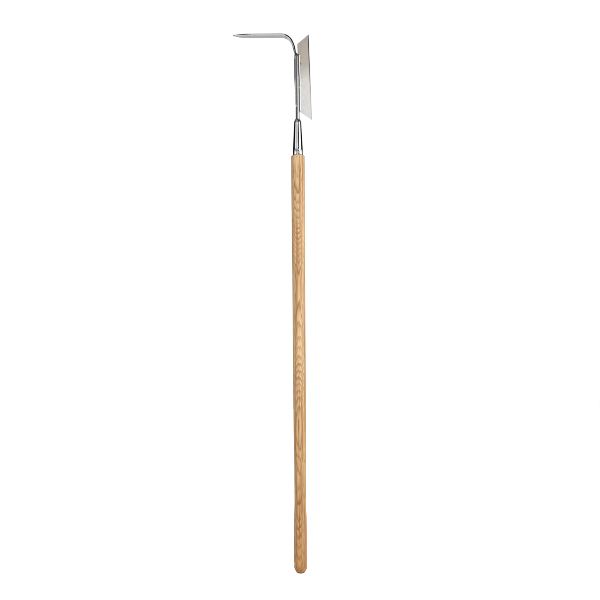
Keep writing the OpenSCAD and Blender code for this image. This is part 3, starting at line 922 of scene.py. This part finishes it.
def flags(stops):
    """Strips of light between black flags, round the horizon."""
    return wt.ramp(az01, [(0.0, 0.002), (deg(-174), 0.002), (deg(-171), 0.5), (deg(-160), 0.5), (deg(-157), 0.002)] + [(deg(d), v) for d, v in stops] + [(deg(157), 0.002), (deg(160), 0.5), (deg(171), 0.5), (deg(174), 0.002), (1.0, 0.002)])


el = wt.math("ARCSINE", wz)
row_a = flags([(-100, 0.002), (-92, 0.42), (-72, 0.46), (-62, 1.0), (-42, 1.0), (-36, 0.10), (-22, 0.10), (-14, 0.80), (0, 0.80), (6, 0.05), (32, 0.05), (46, 1.0), (110, 1.0), (118, 0.002)])
row_b = flags([(-64, 0.002), (-50, 0.22), (14, 0.24), (22, 1.1), (64, 1.1), (72, 0.002)])
row_c = flags([(-76, 0.002), (-68, 0.80), (-46, 0.80), (-40, 0.35), (-34, 0.35), (-28, 1.0), (9, 1.0), (15, 0.002), (34, 0.002), (39, 1.1), (78, 1.1), (86, 0.002)])
row_d = flags([(-74, 0.002), (-64, 0.74), (-46, 0.74), (-38, 0.40), (-22, 0.40), (-14, 0.74), (-3, 0.74), (2, 0.002), (32, 0.002), (36, 1.25), (72, 1.25), (80, 0.002)])


def step(lo, hi):
    return wt.map(el, math.radians(lo), math.radians(hi), 0.0, 1.0, kind="SMOOTHSTEP")


def blend(f, p, q):
    return wt.math("ADD", wt.math("MULTIPLY", p, wt.math("SUBTRACT", 1.0, f)), wt.math("MULTIPLY", q, f))


bands = blend(step(7.5, 8.3), row_a, row_b)
bands = blend(step(10.2, 11.0), bands, row_c)
bands = blend(step(13.1, 13.7), bands, row_d)
mid = wt.math("MULTIPLY", bands, 1.3)
up = wt.map(el, math.radians(20), math.radians(30), 0.0, 1.0, kind="SMOOTHSTEP")
dn = wt.map(el, math.radians(-3), math.radians(-9), 0.0, 1.0, kind="SMOOTHSTEP")
cap = wt.map(el, math.radians(42), math.radians(54), 0.0, 1.0, kind="SMOOTHSTEP")
side = wt.ramp(az01, [(0.0, 0.55), (deg(-125), 0.55), (deg(-106), 0.03), (deg(-80), 0.03), (deg(-40), 0.35), (deg(0), 0.40), (deg(16), 0.02), (deg(108), 0.02), (deg(127), 0.55), (1.0, 0.55)])
high = wt.math("ADD", wt.math("MULTIPLY", side, wt.math("SUBTRACT", 1.0, cap)), wt.math("MULTIPLY", cap, 0.10))
env = wt.math("ADD", wt.math("MULTIPLY", mid, wt.math("SUBTRACT", 1.0, up)), wt.math("MULTIPLY", up, high))
under = wt.ramp(az01, [(0.0, 0.50), (deg(-171), 0.50), (deg(-166), 0.05), (deg(-125), 0.05), (deg(-105), 0.42), (deg(105), 0.42), (deg(125), 0.05), (deg(166), 0.05), (deg(171), 0.50), (1.0, 0.50)])
env = blend(dn, env, under)
# Soft boxes that light the wood: a broad one to the right, a weaker one to the left
soft = wt.ramp(az01, [(0.0, 1.15), (deg(-164), 1.15), (deg(-145), 0.10), (deg(-110), 0.03), (deg(-70), 0.14), (deg(-38), 1.10), (deg(20), 1.44), (deg(60), 1.52), (deg(100), 1.50), (deg(130), 0.4), (deg(145), 0.4), (deg(164), 1.15), (1.0, 1.15)])
lp = wt.new("ShaderNodeLightPath")
env = blend(lp.outputs["Is Diffuse Ray"], env, soft)
cam_ray = lp.outputs["Is Camera Ray"]
val = wt.math("ADD", wt.math("MULTIPLY", env, wt.math("SUBTRACT", 1.0, cam_ray)), wt.math("MULTIPLY", cam_ray, 1.02))
comb = wt.new("ShaderNodeCombineColor")
for i in range(3):
    wt.put(comb.inputs[i], val)
wt.put(bg.inputs["Color"], comb.outputs[0])
bg.inputs["Strength"].default_value = 1.0

cam_d = bpy.data.cameras.new("camera")
cam = bpy.data.objects.new("camera", cam_d)
scene.collection.objects.link(cam)
DIST = 2.6
PX = 2.23 * MM
cam_d.sensor_width = 36.0
cam_d.lens = 36.0 * DIST / (600 * PX)
cam_d.dof.use_dof = False
cam_d.clip_start, cam_d.clip_end = 0.05, 100
cam.location = (0.00245, -DIST, (572.8 - 300.0) * PX)
cam.rotation_euler = (math.pi / 2, math.radians(0.398), 0.0)
scene.camera = cam

scene.cycles.filter_width = 0.9
scene.view_settings.view_transform = "Standard"
scene.view_settings.look = "None"
scene.view_settings.exposure = 0.0
scene.view_settings.gamma = 1.0
